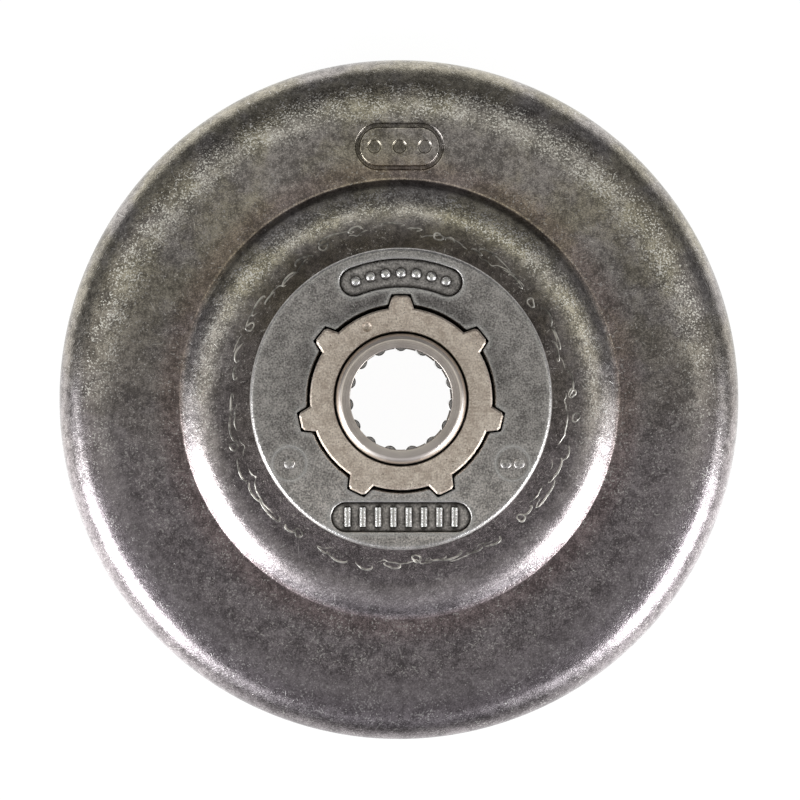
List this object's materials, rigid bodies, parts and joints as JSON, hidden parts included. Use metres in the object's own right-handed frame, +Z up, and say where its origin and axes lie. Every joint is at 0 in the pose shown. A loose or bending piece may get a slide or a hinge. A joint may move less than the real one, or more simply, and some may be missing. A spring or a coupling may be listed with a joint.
{
  "type": "chainsaw clutch drum with rim sprocket",
  "caption": "Pressed steel clutch drum with a splined hub that carries a floating rim sprocket and a needle roller bearing, to drive a saw chain from the crankshaft.",
  "frame": {"origin": "centre of the drum's open mouth, on the crankshaft axis, on the surface it stands on", "axes": "+Z up the crankshaft axis from the open mouth to the sprocket; +Y towards the curved mark on the rim's face; +X to the right of it seen from above"},
  "size_m": [0.073, 0.073, 0.0399],
  "materials": {
    "drum_steel": "tumbled, dark",
    "hub_steel": "sintered, satin",
    "rim_steel": "cast, matte grey",
    "cup_steel": "drawn, satin",
    "cage_steel": "pressed, satin",
    "needle_steel": "ground, polished"
  },
  "bodies": {
    "drum": {"clutch_drum": "drum_steel", "spline_hub": "hub_steel", "bearing_cup": "cup_steel"},
    "rim": {"rim_sprocket": "rim_steel"},
    "cage": {"bearing_cage": "cage_steel"},
    "roller_01": {"needle_roller_01": "needle_steel"},
    "roller_02": {"needle_roller_02": "needle_steel"},
    "roller_03": {"needle_roller_03": "needle_steel"},
    "roller_04": {"needle_roller_04": "needle_steel"},
    "roller_05": {"needle_roller_05": "needle_steel"},
    "roller_06": {"needle_roller_06": "needle_steel"},
    "roller_07": {"needle_roller_07": "needle_steel"},
    "roller_08": {"needle_roller_08": "needle_steel"},
    "roller_09": {"needle_roller_09": "needle_steel"},
    "roller_10": {"needle_roller_10": "needle_steel"},
    "roller_11": {"needle_roller_11": "needle_steel"},
    "roller_12": {"needle_roller_12": "needle_steel"},
    "roller_13": {"needle_roller_13": "needle_steel"},
    "roller_14": {"needle_roller_14": "needle_steel"},
    "roller_15": {"needle_roller_15": "needle_steel"}
  },
  "joints": [
    {"name": "rim_slide", "type": "slide", "parent": "drum", "child": "rim", "axis": [0, 0, 1], "range_m": [0, 0.016]},
    {"name": "cage_spin", "type": "hinge", "parent": "drum", "child": "cage", "pos_m": [0, 0, 0.0339], "axis": [0, 0, 1], "continuous": true},
    {"name": "roller_01_spin", "type": "hinge", "parent": "cage", "child": "roller_01", "pos_m": [0, 0.00575, 0.0339], "axis": [0, 0, 1], "continuous": true},
    {"name": "roller_02_spin", "type": "hinge", "parent": "cage", "child": "roller_02", "pos_m": [-0.00234, 0.00525, 0.0339], "axis": [0, 0, 1], "continuous": true},
    {"name": "roller_03_spin", "type": "hinge", "parent": "cage", "child": "roller_03", "pos_m": [-0.00427, 0.00385, 0.0339], "axis": [0, 0, 1], "continuous": true},
    {"name": "roller_04_spin", "type": "hinge", "parent": "cage", "child": "roller_04", "pos_m": [-0.00547, 0.00178, 0.0339], "axis": [0, 0, 1], "continuous": true},
    {"name": "roller_05_spin", "type": "hinge", "parent": "cage", "child": "roller_05", "pos_m": [-0.00572, -0.0006, 0.0339], "axis": [0, 0, 1], "continuous": true},
    {"name": "roller_06_spin", "type": "hinge", "parent": "cage", "child": "roller_06", "pos_m": [-0.00498, -0.00287, 0.0339], "axis": [0, 0, 1], "continuous": true},
    {"name": "roller_07_spin", "type": "hinge", "parent": "cage", "child": "roller_07", "pos_m": [-0.00338, -0.00465, 0.0339], "axis": [0, 0, 1], "continuous": true},
    {"name": "roller_08_spin", "type": "hinge", "parent": "cage", "child": "roller_08", "pos_m": [-0.0012, -0.00562, 0.0339], "axis": [0, 0, 1], "continuous": true},
    {"name": "roller_09_spin", "type": "hinge", "parent": "cage", "child": "roller_09", "pos_m": [0.0012, -0.00562, 0.0339], "axis": [0, 0, 1], "continuous": true},
    {"name": "roller_10_spin", "type": "hinge", "parent": "cage", "child": "roller_10", "pos_m": [0.00338, -0.00465, 0.0339], "axis": [0, 0, 1], "continuous": true},
    {"name": "roller_11_spin", "type": "hinge", "parent": "cage", "child": "roller_11", "pos_m": [0.00498, -0.00287, 0.0339], "axis": [0, 0, 1], "continuous": true},
    {"name": "roller_12_spin", "type": "hinge", "parent": "cage", "child": "roller_12", "pos_m": [0.00572, -0.0006, 0.0339], "axis": [0, 0, 1], "continuous": true},
    {"name": "roller_13_spin", "type": "hinge", "parent": "cage", "child": "roller_13", "pos_m": [0.00547, 0.00178, 0.0339], "axis": [0, 0, 1], "continuous": true},
    {"name": "roller_14_spin", "type": "hinge", "parent": "cage", "child": "roller_14", "pos_m": [0.00427, 0.00385, 0.0339], "axis": [0, 0, 1], "continuous": true},
    {"name": "roller_15_spin", "type": "hinge", "parent": "cage", "child": "roller_15", "pos_m": [0.00234, 0.00525, 0.0339], "axis": [0, 0, 1], "continuous": true}
  ],
  "couplings": [
    {"joint": "roller_01_spin", "follows": "cage_spin", "ratio": -8.72},
    {"joint": "roller_02_spin", "follows": "cage_spin", "ratio": -8.72},
    {"joint": "roller_03_spin", "follows": "cage_spin", "ratio": -8.72},
    {"joint": "roller_04_spin", "follows": "cage_spin", "ratio": -8.72},
    {"joint": "roller_05_spin", "follows": "cage_spin", "ratio": -8.72},
    {"joint": "roller_06_spin", "follows": "cage_spin", "ratio": -8.72},
    {"joint": "roller_07_spin", "follows": "cage_spin", "ratio": -8.72},
    {"joint": "roller_08_spin", "follows": "cage_spin", "ratio": -8.72},
    {"joint": "roller_09_spin", "follows": "cage_spin", "ratio": -8.72},
    {"joint": "roller_10_spin", "follows": "cage_spin", "ratio": -8.72},
    {"joint": "roller_11_spin", "follows": "cage_spin", "ratio": -8.72},
    {"joint": "roller_12_spin", "follows": "cage_spin", "ratio": -8.72},
    {"joint": "roller_13_spin", "follows": "cage_spin", "ratio": -8.72},
    {"joint": "roller_14_spin", "follows": "cage_spin", "ratio": -8.72},
    {"joint": "roller_15_spin", "follows": "cage_spin", "ratio": -8.72}
  ]
}
